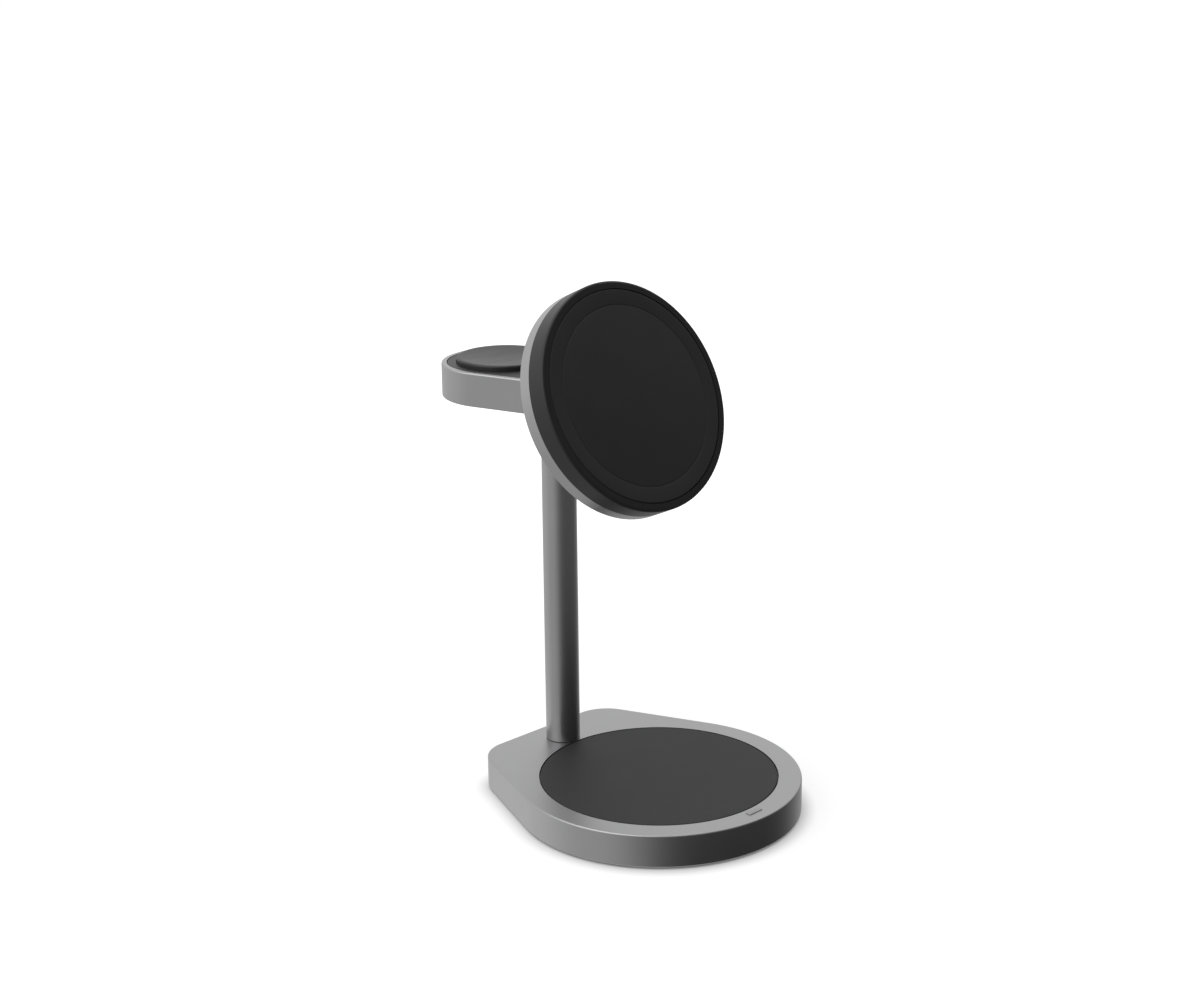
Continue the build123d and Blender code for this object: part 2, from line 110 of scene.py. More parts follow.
def colour(name, description, *default):
    """A colour property of the panel, given as linear red, green and blue."""
    return FloatVectorProperty(
        name=name, description=description, default=default, subtype="COLOR", size=3, min=0.0, max=1.0
    )


def length(name, description, millimetres):
    """A length property of the panel, given here in millimetres."""
    return FloatProperty(
        name=name, description=description, default=millimetres * MM, min=0.0, precision=5, unit="LENGTH"
    )


def angle(name, description, degrees):
    """An angle property of the panel, given here in degrees."""
    return FloatProperty(name=name, description=description, default=radians(degrees), subtype="ANGLE")


def share(name, description, value):
    """A property of the panel that runs from none, 0, to all, 1."""
    return FloatProperty(
        name=name, description=description, default=value, min=0.0, max=1.0, subtype="FACTOR"
    )


def power(name, description, watts):
    """A lamp's power on the panel."""
    return FloatProperty(name=name, description=description, default=watts, min=0.0, unit="POWER")


def spot(name, description, *metres):
    """A lamp's place on the panel, from the middle of the base."""
    return FloatVectorProperty(name=name, description=description, default=metres, subtype="TRANSLATION")


class ChargerSizes(bpy.types.PropertyGroup):
    """Sizes of the pieces that are modelled here, and of the grain in the finishes."""

    rim_round: length("Pad rim", "Radius of the round along a soft pad's upper rim", 0.35)
    pad_lower_edge: length("Pad lower edge", "Chamfer along a soft pad's lower edge", 0.2)
    ring_inset: length("Ring inset", "Rim of the face pad to its alignment ring", 4.4)
    ring_width: length("Ring width", "Width of the alignment ring's groove", 0.7)
    ring_depth: length("Ring depth", "Depth of the alignment ring's groove", 0.18)
    base_corner: length("Base corner", "Radius of the base's two rear corners", 11.5)
    corner_spread: length("Corner spread", "Middle of the base to the centre of a rear corner", 17.56)
    base_wall: length("Base wall", "Thickness of the base shell's wall", 2.2)
    base_deck: length("Base deck", "Thickness of the base shell's deck", 2.2)
    base_edge: length("Base edge", "Rounding of the base shell's top edge", 0.45)
    base_lower_edge: length("Base lower edge", "Chamfer of the base shell's lower edge", 0.4)
    pad_groove: length("Pad groove", "Width of the groove round the base's pad", 0.3)
    pad_ledge: length("Pad ledge", "Width of the seat under the pad's rim", 3.0)
    boss_radius: length("Boss radius", "Radius of the posts that take the plate's screws", 2.6)
    boss_sink: length("Boss sink", "How far a post runs up into the deck", 0.4)
    screw_radius: length("Screw radius", "Radius of a screw's hole in its post", 1.0)
    screw_tip_gap: length("Screw tip gap", "Tip of a screw to the end of its hole", 0.5)
    stem_hole: length("Stem hole", "Radius of the stem's hole in the deck", 4.3)
    window_half_length: length("Window half length", "Half the length of the status light's opening", 2.72)
    window_half_width: length("Window half width", "Half the width of the status light's opening", 0.97)
    window_corner: length("Window corner", "Corner radius of the status light's opening", 0.3)
    socket_height: length("Socket height", "Height of the power socket's shell", 3.16)
    socket_skin: length("Socket skin", "Thickness of the power socket's shell", 0.3)
    socket_back: length("Socket back", "Thickness of the power socket's rear wall", 1.1)
    socket_gap: length("Socket gap", "Space between the power socket and the base shell", 0.15)
    rib_inset: length("Rib inset", "Rim of the foot to its first groove", 1.9)
    rib_pitch: length("Rib pitch", "One groove of the foot to the next", 1.8)
    rib_groove: length("Rib groove", "Width of a groove in the foot", 0.8)
    rib_depth: length("Rib depth", "Depth of a groove in the foot", 0.35)
    rib_count: IntProperty(name="Rib count", description="Grooves round the foot", default=4, min=0)
    tongue_half_width: length("Tongue half width", "Half the width of the socket's tongue", 3.35)
    tongue_half_height: length("Tongue half height", "Half the height of the socket's tongue", 0.35)
    tongue_nose: length("Tongue nose", "Chamfer and corner radius of the tongue's tip", 0.1)
    tongue_setback: length("Tongue setback", "Socket's mouth to the tongue's tip", 0.9)
    contact_pitch: length("Contact pitch", "One contact to the next", 0.5)
    contact_width: length("Contact width", "Width of a contact", 0.26)
    contact_length: length("Contact length", "Length of a contact", 2.6)
    contact_rise: length("Contact rise", "How far a contact stands proud", 0.02)
    contact_count: IntProperty(name="Contact count", description="Contacts on each face", default=12, min=1)
    wire_gap: length("Wire gap", "Space between two turns of a winding", 0.06)
    blast_grain: length("Blast grain", "Size of the pits in the blasted metal", 0.28)
    blast_depth: length("Blast depth", "Depth of the pits in the blasted metal", 0.004)
    mould_grain: length("Mould grain", "Size of the cells in the moulded plastic", 0.34)
    mould_depth: length("Mould depth", "Depth of the cells in the moulded plastic", 0.012)
    rubber_grain: length("Rubber grain", "Size of the pebbles in the soft pads", 0.3)
    rubber_depth: length("Rubber depth", "Depth of the pebbles in the soft pads", 0.008)


class ChargerColours(bpy.types.PropertyGroup):
    """Colours of the finishes."""

    grey_metal: colour("Grey metal", "Base, stem, arm and back of the tilting disc", 0.352, 0.352, 0.356)
    black_plastic: colour("Black plastic", "Disc's front, arm cover, base plate", 0.012, 0.012, 0.0125)
    soft_pad: colour("Soft pad", "Pads that the charged things touch", 0.021, 0.021, 0.0215)
    silicone: colour("Foot rubber", "Foot under the base", 0.022, 0.022, 0.023)
    puck_plastic: colour("Puck plastic", "Dished puck on the arm", 0.02, 0.02, 0.021)
    light_window: colour("Light window", "Raised window of the status light", 0.33, 0.33, 0.332)
    copper: colour("Copper", "Enamelled winding wire", 0.66, 0.27, 0.12)
    ferrite: colour("Ferrite", "Discs behind the windings", 0.035, 0.032, 0.03)
    carrier_plastic: colour("Carrier plastic", "Trays that hold the windings", 0.05, 0.05, 0.052)
    board_mask: colour("Board mask", "Lacquer on the circuit boards", 0.006, 0.045, 0.022)
    board_trace: colour("Board trace", "Tracks under the lacquer", 0.014, 0.1, 0.045)
    steel: colour("Steel", "Counterweight, nuts, screws and hinge lug", 0.5, 0.49, 0.475)
    pin_steel: colour("Pin steel", "Ground hinge pin", 0.62, 0.61, 0.6)
    friction_washer: colour("Friction washer", "Washers that hold the tilt", 0.03, 0.029, 0.028)
    inlet_metal: colour("Inlet metal", "Pressed shell of the power socket", 0.6, 0.59, 0.575)
    contact_gold: colour("Contact gold", "Contacts on the socket's tongue", 0.83, 0.56, 0.2)
    magnet_plating: colour("Magnet plating", "Nickel on the magnets", 0.57, 0.55, 0.52)
    shield_foil: colour("Shield foil", "Foil behind the disc's winding", 0.72, 0.72, 0.73)
    wire_jacket: colour("Wire jacket", "Sleeve of the wiring loom", 0.014, 0.014, 0.015)


class ChargerStudio(bpy.types.PropertyGroup):
    """Camera, floor and light of the picture."""

    azimuth: angle("Azimuth", "Camera's turn round the charger", -44.54)
    elevation: angle("Elevation", "Camera's rise above the horizon", 16.91)
    roll: angle("Roll", "Camera's turn about its own line of sight", -0.61)
    distance: length("Distance", "Camera to the middle of the base, along its line of sight", 665.0)
    stand_left: length("Stand left", "Camera's place to its own left of that line", 17.74)
    stand_up: length("Stand up", "Camera's place above that line", 92.81)
    lens: FloatProperty(name="Lens", description="Focal length in millimetres", default=66.195)
    sensor: FloatProperty(name="Sensor", description="Width of the sensor in millimetres", default=36.0)
    key_place: spot("Key place", "Middle of the large soft light", -0.75, 0.1, 0.7)
    key_size: length("Key size", "Width of the large soft light", 1300.0)
    key_power: power("Key light", "Power of the large soft light", 4.2)
    top_place: spot("Top place", "Middle of the overhead light", 0.05, 0.25, 1.0)
    top_size: length("Top size", "Width of the overhead light", 800.0)
    top_power: power("Top light", "Power of the overhead light", 2.0)
    room_light: share("Room light", "Level of the light from all round", 0.5)
    dark_turn: angle("Dark side", "Turn of the room's dark side about the charger, from +X", -74.5)
    dark_above: share("Dark above", "Share of the upper dark side missing in reflections", 0.86)
    dark_below: share("Dark below", "Share of the lower dark side missing in reflections", 0.62)
    dim_below: share("Dim below", "Share of the lower bright side missing in reflections", 0.32)
    floor_haze: share("Floor haze", "How much of the far floor shows in reflections", 0.3)


class Socket:
    """One output of a node, so that shader maths is written as plain expressions."""

    def __init__(self, paint, output):
        self.paint = paint
        self.output = output

    def maths(self, operation, first, second):
        return self.paint.node("ShaderNodeMath", {"operation": operation}, {0: first, 1: second})

    def __add__(self, other):
        return self.maths("ADD", self, other)

    def __radd__(self, other):
        return self.maths("ADD", other, self)

    def __sub__(self, other):
        return self.maths("SUBTRACT", self, other)

    def __rsub__(self, other):
        return self.maths("SUBTRACT", other, self)

    def __mul__(self, other):
        return self.maths("MULTIPLY", self, other)

    def __rmul__(self, other):
        return self.maths("MULTIPLY", other, self)


class Paint:
    """A node tree being filled, with one method for any node and short names for the common ones."""

    def __init__(self, tree):
        self.tree = tree
        tree.nodes.clear()

    def node(self, kind, settings=None, sockets=None, output=0):
        """Adds a node, makes its settings, then fills its sockets with values or links."""
        node = self.tree.nodes.new(kind)
        for name, value in (settings or {}).items():
            setattr(node, name, value)
        for name, value in (sockets or {}).items():
            if isinstance(value, Socket):
                self.tree.links.new(value.output, node.inputs[name])
            else:
                node.inputs[name].default_value = value
        return Socket(self, node.outputs[output]) if node.outputs else None

    def place(self, stretch=(1.0, 1.0, 1.0)):
        """The point on the piece, in metres, with each direction stretched."""
        point = self.node("ShaderNodeTexCoord", output="Object")
        return self.node("ShaderNodeVectorMath", {"operation": "DIVIDE"}, {0: point, 1: stretch})

    def noise(self, size, detail=2.0, stretch=(1.0, 1.0, 1.0)):
        """Soft noise from 0 to 1 whose spots are about size across."""
        return self.node(
            "ShaderNodeTexNoise", None, {"Vector": self.place(stretch), "Scale": 1 / size, "Detail": detail}
        )

    def cells(self, size):
        """Rounded cells about size across, 0 in the middle of each."""
        return self.node(
            "ShaderNodeTexVoronoi",
            {"feature": "SMOOTH_F1"},
            {"Vector": self.place(), "Scale": 1 / size, "Smoothness": 0.4},
        )

    def ramp(self, value, start, end):
        """A smooth step of value, 0 at start and 1 at end."""
        return self.node(
            "ShaderNodeMapRange",
            {"interpolation_type": "SMOOTHSTEP"},
            {"Value": value, "From Min": start, "From Max": end},
        )

    def tint(self, tone, base):
        """The base colour, made lighter or darker by tone."""
        return self.node("ShaderNodeVectorMath", {"operation": "SCALE"}, {0: tuple(base), "Scale": tone})

    def mix(self, amount, first, second):
        """First colour at amount 0, second colour at amount 1."""
        return self.node(
            "ShaderNodeMix", {"data_type": "RGBA"}, {0: amount, 6: first, 7: second}, output=2
        )

    def bump(self, height, depth):
        """Relief of the given depth, in metres, for a shader's normal."""
        return self.node("ShaderNodeBump", None, {"Height": height, "Distance": depth, "Strength": 1.0})

    def surface(self, sockets):
        """Ends the material in one shader with these sockets."""
        shader = self.node("ShaderNodeBsdfPrincipled", None, sockets)
        self.node("ShaderNodeOutputMaterial", None, {"Surface": shader})


def new_finish(name):
    """An empty material and the paint that fills it."""
    finish = bpy.data.materials.new(name)
    finish.use_nodes = True
    return finish, Paint(finish.node_tree)


def blasted_metal(name, base, sizes):
    """Anodised metal, blasted to a satin of fine pits, with slow drifts of tone and gloss."""
    finish, paint = new_finish(name)
    pits = paint.noise(sizes.blast_grain)
    drift = paint.noise(14 * MM, 3.0)
    handling = paint.noise(5 * MM, 4.0)
    paint.surface({
        "Base Color": paint.tint(0.95 + 0.05 * drift + 0.05 * pits, base),
        "Roughness": 0.3 + 0.06 * drift + 0.05 * handling,
        "Metallic": 1.0,
        "Normal": paint.bump(pits, sizes.blast_depth),
    })
    return finish


def moulded_plastic(name, base, sizes, rough=0.4):
    """Plastic from a spark-eroded mould: small cells in relief, glossier on their tops."""
    finish, paint = new_finish(name)
    cells = paint.cells(sizes.mould_grain)
    drift = paint.noise(9 * MM, 3.0)
    paint.surface({
        "Base Color": paint.tint(0.9 + 0.2 * drift, base),
        "Roughness": rough - 0.03 + 0.08 * cells + 0.06 * drift,
        "Normal": paint.bump(1.0 - cells, sizes.mould_depth),
        "Specular IOR Level": 0.36,
    })
    return finish


def soft_rubber(name, base, sizes, rough=0.6):
    """Soft-touch rubber: a dull pebbled skin that dulls and greys a little where it is touched."""
    finish, paint = new_finish(name)
    pebbles = paint.noise(sizes.rubber_grain, 1.0)
    touch = paint.noise(11 * MM, 4.0)
    paint.surface({
        "Base Color": paint.tint(0.85 + 0.25 * touch + 0.1 * pebbles, base),
        "Roughness": rough - 0.04 + 0.08 * touch,
        "Normal": paint.bump(pebbles, sizes.rubber_depth),
        "Specular IOR Level": 0.25,
        "Sheen Weight": 0.03,
        "Sheen Roughness": 0.5,
    })
    return finish


def satin_plastic(name, base):
    """Satin plastic with the faint waviness of a moulded skin and a few wiped streaks."""
    finish, paint = new_finish(name)
    wave = paint.noise(2.5 * MM, 1.0)
    wipes = paint.noise(3 * MM, 3.0, (5.0, 1.0, 1.0))
    paint.surface({
        "Base Color": paint.tint(0.95 + 0.1 * wave, base),
        "Roughness": 0.36 + 0.12 * wipes,
        "Normal": paint.bump(wave, 0.004 * MM),
        "Specular IOR Level": 0.4,
    })
    return finish


def frosted_window(name, base):
    """Frosted plastic that closes the status light's opening."""
    finish, paint = new_finish(name)
    frost = paint.noise(0.15 * MM)
    drift = paint.noise(1.5 * MM)
    paint.surface({
        "Base Color": paint.tint(0.94 + 0.12 * drift, base),
        "Roughness": 0.4 + 0.08 * frost,
        "Normal": paint.bump(frost, 0.003 * MM),
        "Specular IOR Level": 0.6,
    })
    return finish


def drawn_metal(name, base, rough=0.3, stretch=(12.0, 1.0, 1.0), grain=0.12 * MM):
    """Bare or plated metal with the fine lines of drawing, turning or grinding."""
    finish, paint = new_finish(name)
    lines = paint.noise(grain, 2.0, stretch)
    stain = paint.noise(4 * MM, 3.0)
    paint.surface({
        "Base Color": paint.tint(0.9 + 0.08 * stain + 0.06 * lines, base),
        "Roughness": rough - 0.04 + 0.1 * stain + 0.05 * lines,
        "Metallic": 1.0,
        "Normal": paint.bump(lines, 0.003 * MM),
    })
    return finish


def enamelled_wire(name, base):
    """Copper wire under a clear enamel, paler where the enamel is thin."""
    finish, paint = new_finish(name)
    twist = paint.noise(0.3 * MM, 2.0)
    drift = paint.noise(3 * MM)
    paint.surface({
        "Base Color": paint.tint(0.82 + 0.25 * drift + 0.12 * twist, base),
        "Roughness": 0.26 + 0.12 * twist,
        "Metallic": 1.0,
        "Normal": paint.bump(twist, 0.01 * MM),
        "Coat Weight": 0.4,
        "Coat Roughness": 0.15,
    })
    return finish


def sintered(name, base):
    """Pressed and sintered powder: dull, speckled and finely pitted."""
    finish, paint = new_finish(name)
    specks = paint.cells(0.25 * MM)
    drift = paint.noise(6 * MM, 3.0)
    paint.surface({
        "Base Color": paint.tint(0.75 + 0.4 * specks + 0.2 * drift, base),
        "Roughness": 0.62 + 0.15 * specks,
        "Normal": paint.bump(specks, 0.02 * MM),
    })
    return finish


def circuit_board(name, mask, trace):
    """Lacquered board: paler tracks that stand up a little under the glossy mask."""
    finish, paint = new_finish(name)
    tracks = paint.node(
        "ShaderNodeTexBrick",
        {"offset": 0.37, "offset_frequency": 2},
        {
            "Vector": paint.place(),
            "Color1": BLACK,
            "Color2": BLACK,
            "Mortar": WHITE,
            "Scale": 1.0,
            "Mortar Size": 0.22 * MM,
            "Mortar Smooth": 0.2,
            "Brick Width": 3.1 * MM,
            "Row Height": 1.3 * MM,
        },
        output="Fac",
    )
    drift = paint.noise(5 * MM)
    paint.surface({
        "Base Color": paint.mix(tracks, (*mask, 1.0), (*trace, 1.0)),
        "Roughness": 0.28 + 0.1 * drift,
        "Normal": paint.bump(tracks, 0.02 * MM),
    })
    return finish


def dress(slot_name, finish):
    """Gives a finish to every CAD node of one of the record's material slots."""
    for node in frame["nodes"].values():
        for place in node.material_slots:
            if place.material.name == slot_name:
                place.material = finish


def outline(circles, inset, count):
    """Outline round a set of circles, given as (x, y, radius), drawn in by inset."""
    points = []
    for step in range(count):
        turn = 2 * pi * step / count
        along = Vector((cos(turn), sin(turn)))
        x, y, radius = max(circles, key=lambda c: c[0] * along.x + c[1] * along.y + c[2])
        points.append(Vector((x, y)) + along * (radius - inset))
    return points


def base_plan(sizes, node):
    """Circles whose outline is the plan of a part of the base, drawn in as far as that part is."""
    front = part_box(node)[0].y
    shell_low, shell_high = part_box("base_shell")
    rear = shell_high.y - sizes.base_corner
    corner = sizes.base_corner - (front - shell_low.y)
    return [(0.0, 0.0, -front), (-sizes.corner_spread, rear, corner), (sizes.corner_spread, rear, corner)]


def stack(circles, profile, count):
    """Rings of points up a piece whose plan is drawn in by inset at each height of its profile."""
    rings = []
    for inset, height in profile:
        rings.append([Vector((*point, height)) for point in outline(circles, inset, count)])
    return rings


def add_skin(mesh, rings):
    """Joins a row of equal rings by a skin of quads, and closes both ends."""
    rows = [[mesh.verts.new(point) for point in ring] for ring in rings]
    for lower, upper in zip(rows, rows[1:]):
        for step in range(len(lower)):
            following = (step + 1) % len(lower)
            mesh.faces.new((lower[step], lower[following], upper[following], upper[step]))
    mesh.faces.new(tuple(reversed(rows[0])))
    mesh.faces.new(tuple(rows[-1]))


def new_piece(name, skins, finish, place=Matrix.Identity(4), crease=35.0):
    """A piece of one or more closed skins, smooth except along creases, put in its place."""
    form = bmesh.new()
    for rings in skins:
        add_skin(form, rings)
    bmesh.ops.recalc_face_normals(form, faces=form.faces)
    for face in form.faces:
        face.smooth = True
    data = bpy.data.meshes.new(name)
    form.to_mesh(data)
    form.free()
    data.transform(place)
    data.set_sharp_from_angle(angle=radians(crease))
    data.materials.append(finish)
    piece = bpy.data.objects.new(name, data)
    bpy.context.scene.collection.objects.link(piece)
    return piece


def carve(piece, added, cutters, crease=35.0):
    """Joins closed forms to a piece, cuts others out of it, and leaves it as a plain mesh."""
    for operation, forms in (("UNION", added), ("DIFFERENCE", cutters)):
        for form in forms:
            step = piece.modifiers.new(form.name, "BOOLEAN")
            step.operation = operation
            step.solver = "EXACT"
            step.object = form
    shaped = piece.evaluated_get(bpy.context.evaluated_depsgraph_get())
    data = bpy.data.meshes.new_from_object(shaped)
    data.set_sharp_from_angle(angle=radians(crease))
    piece.modifiers.clear()
    piece.data = data
    for form in (*added, *cutters):
        bpy.data.objects.remove(form)


def stand_for(piece, body, slot_name, *nodes):
    """Lets a piece ride on its body and stand for CAD nodes, which it hides; its slot name is not used."""
    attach(piece, body)
    if nodes:
        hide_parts(*nodes)


def head_place():
    """The tilting disc's own frame at rest: middle of its face, with Z out of the face."""
    mount = next(m for m in frame["record"]["mounts"] if m["name"] == "phone_face")
    out = Vector(mount["axis"]).normalized()
    across = Vector((1.0, 0.0, 0.0))
    turn = Matrix((across, out.cross(across), out)).transposed()
    return Matrix.Translation(mount["pos_m"]) @ turn.to_4x4()


def middle_of(node):
    """Middle of a CAD node's box."""
    low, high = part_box(node)
    return (low + high) / 2


def upright_place(node):
    """A frame on the upright axis of a round CAD node, at the floor's height."""
    middle = middle_of(node)
    return Matrix.Translation((middle.x, middle.y, 0.0))


def round_extent(node, place):
    """Inner and outer radius, and lower and upper height, of a round CAD node in its own frame."""
    back = place.inverted()
    points = [back @ vertex.co for vertex in frame["nodes"][node].data.vertices]
    reach = [hypot(point.x, point.y) for point in points]
    heights = [point.z for point in points]
    return min(reach), max(reach), min(heights), max(heights)


def quarter_round(radius, top, steps=6):
    """Profile of a rounded upper edge."""
    turns = [pi / 2 * step / steps for step in range(steps + 1)]
    return [(radius * (1 - cos(turn)), top - radius * (1 - sin(turn))) for turn in turns]


def rim_profile(bottom, top, sizes):
    """Profile of a moulded pad's edge: a small chamfer below, and a round along the upper rim."""
    edge = [(sizes.pad_lower_edge, bottom), (0.0, bottom + sizes.pad_lower_edge)]
    edge += quarter_round(sizes.rim_round, top)
    return [*edge, (sizes.rim_round * PAD_FLAT, top)]


def groove_profile(inset, width, depth, level, steps=4):
    """Profile of one round-bottomed groove cut into a level face."""
    return [
        (inset + width * step / (2 * steps), level + depth * (cos(pi * step / steps) - 1) / 2)
        for step in range(2 * steps + 1)
    ]


def soft_edges(half_width, half_length, radius):
    """Four circles whose outline is a rectangle with round corners."""
    return [
        (side * (half_width - radius), end * (half_length - radius), radius)
        for side in (-1, 1)
        for end in (-1, 1)
    ]


def socket_plan(sizes, grow=0.0):
    """Circles whose outline is the power socket's oval, drawn out by grow."""
    half_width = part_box("power_inlet")[1].x
    radius = sizes.socket_height / 2
    return [(side * (half_width - radius), 0.0, radius + grow) for side in (-1, 1)]


def socket_place(sizes):
    """The power socket's own frame: middle of its mouth, with Z out of the mouth."""
    low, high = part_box("power_inlet")
    middle = Vector((0.0, high.y, low.z + sizes.socket_height / 2))
    return Matrix.Translation(middle) @ Matrix.Rotation(radians(-90), 4, "X")


def winding(inner, outer, level, thickness, gap, turn_steps=72, sides=8):
    """Rings of points along a flat spiral of round wire that fills a coil's space."""
    wire = thickness / 2
    span = outer - inner - 2 * wire
    turns = max(1, int(span / (2 * wire + gap)))
    steps = turns * turn_steps
    rings = []
    for step in range(steps + 1):
        turn = 2 * pi * step / turn_steps
        middle = inner + wire + span * step / steps
        rings.append([
            Vector((
                (middle + wire * cos(2 * pi * side / sides)) * cos(turn),
                (middle + wire * cos(2 * pi * side / sides)) * sin(turn),
                level + wire * sin(2 * pi * side / sides),
            ))
            for side in range(sides)
        ])
    return rings


class CHARGER_OT_metal_shells(bpy.types.Operator):
    """Blasted grey metal on the stem, arm and back of the tilting disc, and the base shell in it"""

    bl_idname = "charger.metal_shells"
    bl_label = "Metal shells"

    def execute(self, context):
        colours = context.scene.charger_colours
        sizes = context.scene.charger_sizes
        finish = blasted_metal("blasted_grey_metal", colours.grey_metal, sizes)
        dress("grey_metal", finish)
        self.base_shell(sizes, finish)
        return {"FINISHED"}

    def base_shell(self, sizes, finish):
        """A cup turned over, with an even round along its deck, open where the other parts go in."""
        low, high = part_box("base_shell")
        flat = sizes.base_edge * BASE_FLAT
        deck_bottom = high.z - sizes.base_deck
        profile = [
            (sizes.base_wall, deck_bottom),
            (sizes.base_wall, low.z),
            (sizes.base_lower_edge, low.z),
            (0.0, low.z + sizes.base_lower_edge),
            (0.0, high.z - flat),
        ]
        profile += quarter_round(sizes.base_edge, high.z, steps=8)
        profile.append((flat, high.z))
        rings = stack(base_plan(sizes, "base_shell"), profile, BASE_STEPS)
        shell = new_piece("base_shell_smooth", [rings], finish)
        carve(shell, [new_piece("screw_bosses", self.screw_bosses(sizes, deck_bottom), finish)], [
            new_piece("screw_holes", self.screw_holes(sizes), finish),
            new_piece("pad_bed", [self.pad_bed(sizes, deck_bottom, high.z)], finish),
            new_piece("stem_bore", [self.stem_bore(sizes, deck_bottom, high.z)], finish),
            new_piece("light_opening", [self.light_opening(sizes, deck_bottom, high.z)], finish),
            new_piece("socket_opening", [self.socket_opening(sizes)], finish, socket_place(sizes)),
        ])
        stand_for(shell, "stand", "grey_metal", "base_shell")

    def screw_places(self):
        """Middle of each of the plate's screws in plan: one in each quarter of the base."""
        points = [vertex.co for vertex in frame["nodes"]["base_screws"].data.vertices]
        places = []
        for side in (-1, 1):
            for end in (-1, 1):
                near = [point for point in points if side * point.x > 0 and end * point.y > 0]
                xs = [point.x for point in near]
                ys = [point.y for point in near]
                places.append(((min(xs) + max(xs)) / 2, (min(ys) + max(ys)) / 2))
        return places

    def screw_bosses(self, sizes, deck_bottom):
        """Posts under the deck, each sunk a little into it, down to the base plate."""
        profile = [(0.0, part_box("base_plate")[1].z), (0.0, deck_bottom + sizes.boss_sink)]
        return [stack([(*place, sizes.boss_radius)], profile, SMALL_STEPS) for place in self.screw_places()]

    def screw_holes(self, sizes):
        """Holes in the posts, a little deeper than the screws reach."""
        plate_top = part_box("base_plate")[1].z
        profile = [(0.0, plate_top - MM), (0.0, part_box("base_screws")[1].z + sizes.screw_tip_gap)]
        return [stack([(*place, sizes.screw_radius)], profile, SMALL_STEPS) for place in self.screw_places()]

    def pad_bed(self, sizes, deck_bottom, deck_top):
        """Round bed of the pad, with a narrower opening through the deck below it."""
        pad_low, pad_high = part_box("earbud_pad")
        bed = pad_high.x + sizes.pad_groove
        seat = sizes.pad_ledge + sizes.pad_groove
        profile = [(seat, deck_bottom - MM), (seat, pad_low.z), (0.0, pad_low.z), (0.0, deck_top + MM)]
        return stack([(0.0, 0.0, bed)], profile, PAD_STEPS)

    def stem_bore(self, sizes, deck_bottom, deck_top):
        """Hole in the deck for the stem's spigot."""
        profile = [(0.0, deck_bottom - MM), (0.0, deck_top + MM)]
        return stack([(0.0, middle_of("stem_tube").y, sizes.stem_hole)], profile, BORE_STEPS)

    def light_opening(self, sizes, deck_bottom, deck_top):
        """Hole in the deck for the status light's window."""
        front = middle_of("status_light_pipe").y
        corners = soft_edges(sizes.window_half_length, sizes.window_half_width, sizes.window_corner)
        circles = [(x, y + front, radius) for x, y, radius in corners]
        return stack(circles, [(0.0, deck_bottom - MM), (0.0, deck_top + MM)], SMALL_STEPS)

    def socket_opening(self, sizes):
        """Hole in the back wall for the power socket, in the socket's own frame."""
        reach = 2 * sizes.base_wall
        return stack(socket_plan(sizes, sizes.socket_gap), [(0.0, -reach), (0.0, reach)], SOCKET_STEPS)


class CHARGER_OT_plastic_parts(bpy.types.Operator):
    """Moulded, satin and frosted plastic on the parts that show"""

    bl_idname = "charger.plastic_parts"
    bl_label = "Plastic parts"

    def execute(self, context):
        colours = context.scene.charger_colours
        sizes = context.scene.charger_sizes
        dress("black_plastic", moulded_plastic("moulded_black", colours.black_plastic, sizes))
        dress("puck_plastic", satin_plastic("satin_puck", colours.puck_plastic))
        dress("light_window", frosted_window("frosted_window", colours.light_window))
        return {"FINISHED"}


class CHARGER_OT_soft_pads(bpy.types.Operator):
    """Rubber pads on the base and the tilting disc, and the ribbed foot under the base"""

    bl_idname = "charger.soft_pads"
    bl_label = "Soft pads"

    def execute(self, context):
        colours = context.scene.charger_colours
        sizes = context.scene.charger_sizes
        soft = soft_rubber("soft_touch_pad", colours.soft_pad, sizes)
        self.base_pad(sizes, soft)
        self.face_pad(sizes, soft)
        self.foot(sizes, soft_rubber("foot_rubber", colours.silicone, sizes, rough=0.66))
        return {"FINISHED"}

    def base_pad(self, sizes, finish):
        """The round pad in the deck."""
        place = upright_place("earbud_pad")
        _, radius, bottom, top = round_extent("earbud_pad", place)
        rings = stack([(0.0, 0.0, radius)], rim_profile(bottom, top, sizes), PAD_STEPS)
        stand_for(new_piece("earbud_pad_soft", [rings], finish, place), "stand", "soft_pad", "earbud_pad")

    def face_pad(self, sizes, finish):
        """The round pad on the disc's face, with its alignment ring."""
        place = head_place()
        _, radius, bottom, top = round_extent("head_face_pad", place)
        profile = rim_profile(bottom, top, sizes)
        profile += groove_profile(sizes.ring_inset, sizes.ring_width, sizes.ring_depth, top)
        rings = stack([(0.0, 0.0, radius)], profile, PAD_STEPS)
        stand_for(new_piece("face_pad_soft", [rings], finish, place), "head", "soft_pad", "head_face_pad")

    def foot(self, sizes, finish):
        """The sheet under the base, made upside down, with grooves that follow its rim."""
        low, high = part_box("foot_pad")
        profile = rim_profile(-high.z, -low.z, sizes)
        for rib in range(sizes.rib_count):
            inset = sizes.rib_inset + rib * sizes.rib_pitch
            profile += groove_profile(inset, sizes.rib_groove, sizes.rib_depth, -low.z)
        upside_down = Matrix.Diagonal((1.0, 1.0, -1.0, 1.0))
        rings = stack(base_plan(sizes, "foot_pad"), profile, PAD_STEPS)
        stand_for(new_piece("foot_ribbed", [rings], finish, upside_down), "stand", "silicone", "foot_pad")


